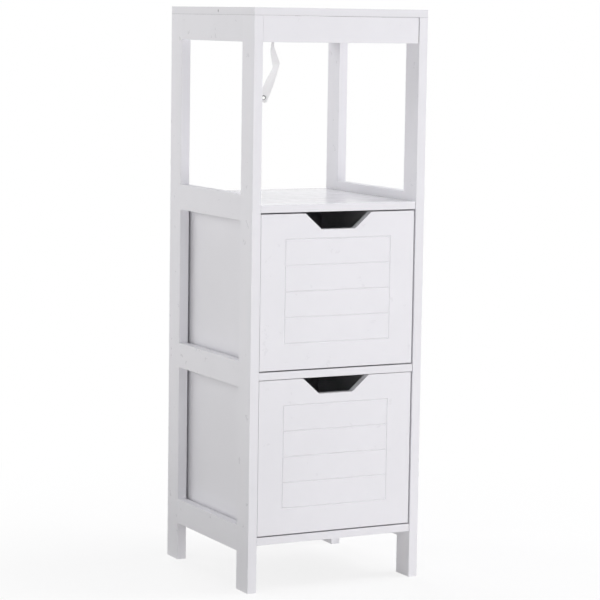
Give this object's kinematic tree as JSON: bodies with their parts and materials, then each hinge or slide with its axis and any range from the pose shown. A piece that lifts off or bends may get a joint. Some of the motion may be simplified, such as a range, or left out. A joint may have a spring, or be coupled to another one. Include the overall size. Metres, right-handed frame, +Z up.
{
  "type": "bathroom storage tower",
  "caption": "Slim white freestanding tower with an open compartment over inset sliding drawers with cut-out finger pulls, for bathroom storage.",
  "frame": {"origin": "on the floor under the middle of the tower", "axes": "+Z up, the front faces -Y, +X to the right seen from the front"},
  "size_m": [0.3, 0.3, 0.895],
  "materials": {
    "painted_frame": "white satin paint on MDF",
    "painted_drawer_front": "white satin paint on MDF",
    "painted_drawer_box": "white satin foil on MDF",
    "painted_hardboard": "white lacquered hardboard",
    "beech_dowel": "bare beech",
    "zinc_cam": "die-cast zinc",
    "steel_bolt": "zinc plated steel",
    "steel_screw": "zinc plated steel",
    "strap_webbing": "white woven webbing",
    "eyelet_metal": "rolled metal"
  },
  "bodies": {
    "cabinet": {"top_panel": "painted_frame", "front_left_post": "painted_frame", "front_right_post": "painted_frame", "back_left_post": "painted_frame", "back_right_post": "painted_frame", "left_bottom_rail": "painted_frame", "left_middle_rail": "painted_frame", "left_upper_rail": "painted_frame", "left_top_rail": "painted_frame", "right_bottom_rail": "painted_frame", "right_middle_rail": "painted_frame", "right_upper_rail": "painted_frame", "right_top_rail": "painted_frame", "front_apron": "painted_frame", "back_apron": "painted_frame", "shelf_board": "painted_frame", "divider_board": "painted_frame", "bottom_board": "painted_frame", "bottom_batten": "painted_frame", "upper_back_panel": "painted_hardboard", "lower_back_panel": "painted_hardboard", "rail_dowels": "beech_dowel", "board_dowels": "beech_dowel", "apron_dowels": "beech_dowel", "top_dowels": "beech_dowel", "board_cam_locks": "zinc_cam", "apron_cam_locks": "zinc_cam", "board_cam_bolts": "steel_bolt", "apron_cam_bolts": "steel_bolt", "batten_screws": "steel_screw", "strap_screw": "steel_screw", "safety_strap": "strap_webbing", "strap_eyelets": "eyelet_metal"},
    "upper_drawer": {"upper_drawer_front": "painted_drawer_front", "upper_drawer_left_side": "painted_drawer_box", "upper_drawer_right_side": "painted_drawer_box", "upper_drawer_back": "painted_drawer_box", "upper_drawer_bottom": "painted_hardboard", "upper_drawer_cam_locks": "zinc_cam", "upper_drawer_cam_bolts": "steel_bolt", "upper_drawer_screws": "steel_screw"},
    "lower_drawer": {"lower_drawer_front": "painted_drawer_front", "lower_drawer_left_side": "painted_drawer_box", "lower_drawer_right_side": "painted_drawer_box", "lower_drawer_back": "painted_drawer_box", "lower_drawer_bottom": "painted_hardboard", "lower_drawer_cam_locks": "zinc_cam", "lower_drawer_cam_bolts": "steel_bolt", "lower_drawer_screws": "steel_screw"}
  },
  "joints": [
    {"name": "upper_drawer_slide", "type": "slide", "parent": "cabinet", "child": "upper_drawer", "axis": [0, -1, 0], "range_m": [0, 0.2]},
    {"name": "lower_drawer_slide", "type": "slide", "parent": "cabinet", "child": "lower_drawer", "axis": [0, -1, 0], "range_m": [0, 0.2]}
  ]
}
